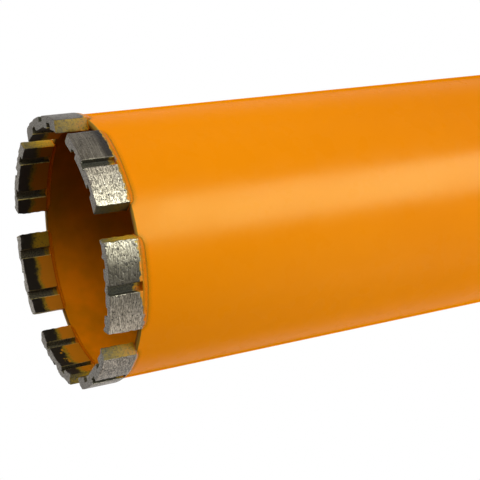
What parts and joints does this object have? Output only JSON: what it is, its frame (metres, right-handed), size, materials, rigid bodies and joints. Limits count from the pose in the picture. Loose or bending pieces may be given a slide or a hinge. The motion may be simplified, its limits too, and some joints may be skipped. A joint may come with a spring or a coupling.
{
  "type": "diamond core bit",
  "caption": "Painted steel tube with grooved diamond segments on its cutting end and a threaded hub on its back, for drilling round holes in concrete and stone.",
  "frame": {"origin": "centre of the hub's seating face, on the bit's axis", "axes": "+Z along the bit's axis from the hub to the cutting end, +X through the middle of segment_1"},
  "size_m": [0.0757, 0.076, 0.3873],
  "materials": {
    "orange_paint": "satin sprayed orange paint",
    "painted_weld": "weld bead under orange paint",
    "painted_braze": "rough bead under orange paint",
    "hub_finish": "orange paint with bare turned face and thread",
    "sintered_metal": "ground and worn, with pits and scratches"
  },
  "bodies": {
    "root": {"barrel": "orange_paint", "end_plate": "orange_paint", "plate_weld": "painted_weld", "hub": "hub_finish", "hub_weld": "painted_weld", "segment_1": "sintered_metal", "segment_2": "sintered_metal", "segment_3": "sintered_metal", "segment_4": "sintered_metal", "segment_5": "sintered_metal", "segment_6": "sintered_metal", "segment_7": "sintered_metal", "braze_1": "painted_braze", "braze_2": "painted_braze", "braze_3": "painted_braze", "braze_4": "painted_braze", "braze_5": "painted_braze", "braze_6": "painted_braze", "braze_7": "painted_braze"}
  },
  "joints": []
}
